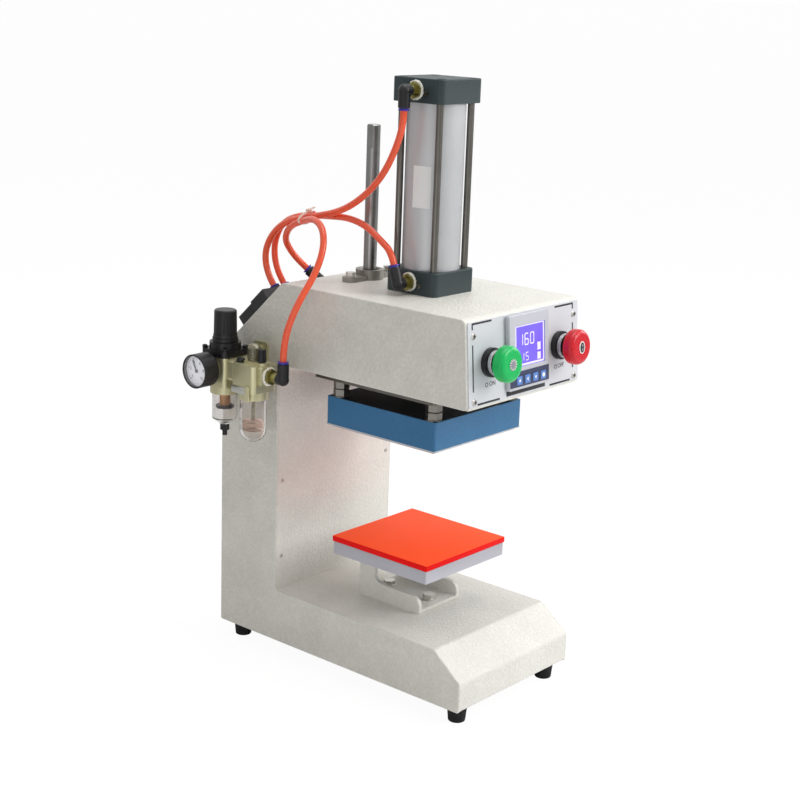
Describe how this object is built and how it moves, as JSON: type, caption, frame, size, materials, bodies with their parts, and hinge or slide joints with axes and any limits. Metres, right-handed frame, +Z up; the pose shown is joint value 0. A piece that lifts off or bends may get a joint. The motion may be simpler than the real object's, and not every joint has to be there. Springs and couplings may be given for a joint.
{
  "type": "label heat press",
  "caption": "Bench-top pneumatic heat press with C-shaped sheet frame, air cylinder, heated upper platen, padded lower platen, air unit and front controls.",
  "frame": {"origin": "on the plane the feet stand on, below the air cylinder's axis and in the frame's middle plane", "axes": "+Z up along the ram, -Y towards the operator, +X to the operator's right"},
  "size_m": [0.3, 0.4363, 0.722],
  "materials": {
    "frame_paint": "light grey hammered powder coat",
    "dark_cap": "dark anodised cap",
    "barrel_alu": "satin anodised tube",
    "bright_steel": "bright steel",
    "chrome_rod": "hard chrome",
    "plain_alu": "milled aluminium",
    "blue_paint": "blue hammered enamel",
    "board": "dark insulation board",
    "silicone": "red-orange silicone",
    "rubber": "black rubber",
    "panel": "satin panel",
    "bezel": "light grey moulding",
    "window": "backlit display",
    "key_blue": "blue keys",
    "green": "green cap",
    "red": "red cap",
    "black_plastic": "black moulding",
    "die_cast": "champagne die casting",
    "clear": "clear polycarbonate",
    "bronze": "sintered bronze",
    "brass": "olive plated brass",
    "collar_blue": "blue release collars",
    "hose": "orange polyurethane hose"
  },
  "bodies": {
    "press_frame": {"side_plate_left": "frame_paint", "side_plate_right": "frame_paint", "base_deck": "frame_paint", "throat_skin": "frame_paint", "head_skin": "frame_paint", "rear_cover": "frame_paint", "base_plate": "frame_paint", "mount_plate": "bright_steel", "rubber_feet": "rubber", "cable_gland": "black_plastic", "lower_cap": "dark_cap", "upper_cap": "dark_cap", "barrel": "barrel_alu", "guide_flange": "bright_steel", "platen_bracket": "frame_paint", "lower_platen": "plain_alu", "silicone_pad": "silicone", "control_panel": "panel", "controller_case": "bezel", "display_window": "window", "button_collars": "black_plastic", "filter_regulator_body": "die_cast", "lubricator_body": "die_cast", "unit_bracket": "die_cast", "regulator_bonnet": "black_plastic", "gauge_case": "black_plastic", "gauge_lens": "clear", "filter_bowl": "clear", "filter_element": "bronze", "lubricator_bowl": "clear", "sight_dome": "clear", "valve_body": "black_plastic", "valve_coil": "black_plastic", "thread_adapters": "brass", "push_in_elbows": "black_plastic", "release_collars": "collar_blue", "top_hose": "hose", "bottom_hose": "hose", "supply_hose": "hose", "cylinder_fasteners": "bright_steel", "frame_fasteners": "bright_steel"},
    "ram": {"piston_rod": "chrome_rod", "guide_rod": "bright_steel", "carrier_plate": "bright_steel", "levelling_bolts": "bright_steel", "insulation_board": "board", "heater_plate": "plain_alu", "heater_cover": "blue_paint"},
    "start": {"start_button": "green"},
    "stop_shaft": {"stop_stem": "black_plastic"},
    "stop_head": {"stop_button": "red"},
    "key_a": {"key_one": "key_blue"},
    "key_b": {"key_two": "key_blue"},
    "key_c": {"key_three": "key_blue"},
    "key_d": {"key_four": "key_blue"},
    "spindle": {"regulator_spindle": "bright_steel"},
    "knob": {"regulator_knob": "black_plastic"},
    "needle": {"gauge_needle": "black_plastic"},
    "drain": {"drain_cock": "black_plastic"},
    "oil_adjuster": {"oil_knob": "black_plastic"}
  },
  "joints": [
    {"name": "press_stroke", "type": "slide", "parent": "press_frame", "child": "ram", "axis": [0, 0, -1], "range_m": [0, 0.1375]},
    {"name": "start_press", "type": "slide", "parent": "press_frame", "child": "start", "axis": [0, 0.9968, -0.0797], "range_m": [0, 0.005], "stiffness_N_per_m": 500},
    {"name": "stop_press", "type": "slide", "parent": "press_frame", "child": "stop_shaft", "axis": [0, 0.9968, -0.0797], "range_m": [0, 0.006]},
    {"name": "stop_twist", "type": "hinge", "parent": "stop_shaft", "child": "stop_head", "pos_m": [0.065, -0.16352, 0.42656], "axis": [0, 0.9968, -0.0797], "range_deg": [0, 30], "stiffness_Nm_per_rad": 0.05},
    {"name": "key_a_press", "type": "slide", "parent": "press_frame", "child": "key_a", "axis": [0, 0.9968, -0.0797], "range_m": [0, 0.0005], "stiffness_N_per_m": 800},
    {"name": "key_b_press", "type": "slide", "parent": "press_frame", "child": "key_b", "axis": [0, 0.9968, -0.0797], "range_m": [0, 0.0005], "stiffness_N_per_m": 800},
    {"name": "key_c_press", "type": "slide", "parent": "press_frame", "child": "key_c", "axis": [0, 0.9968, -0.0797], "range_m": [0, 0.0005], "stiffness_N_per_m": 800},
    {"name": "key_d_press", "type": "slide", "parent": "press_frame", "child": "key_d", "axis": [0, 0.9968, -0.0797], "range_m": [0, 0.0005], "stiffness_N_per_m": 800},
    {"name": "regulator_turn", "type": "hinge", "parent": "press_frame", "child": "spindle", "pos_m": [-0.144, 0.195, 0.4], "axis": [0, 0, 1], "range_deg": [-900, 900]},
    {"name": "knob_lift", "type": "slide", "parent": "spindle", "child": "knob", "axis": [0, 0, 1], "range_m": [0, 0.003]},
    {"name": "gauge_swing", "type": "hinge", "parent": "press_frame", "child": "needle", "pos_m": [-0.19, 0.195, 0.372], "axis": [-1, 0, 0], "range_deg": [-170, 80], "stiffness_Nm_per_rad": 0.001},
    {"name": "drain_turn", "type": "hinge", "parent": "press_frame", "child": "drain", "pos_m": [-0.144, 0.195, 0.293], "axis": [0, 0, 1], "range_deg": [0, 90]},
    {"name": "oil_turn", "type": "hinge", "parent": "press_frame", "child": "oil_adjuster", "pos_m": [-0.144, 0.132, 0.395], "axis": [0, 0, 1], "range_deg": [0, 270]}
  ]
}
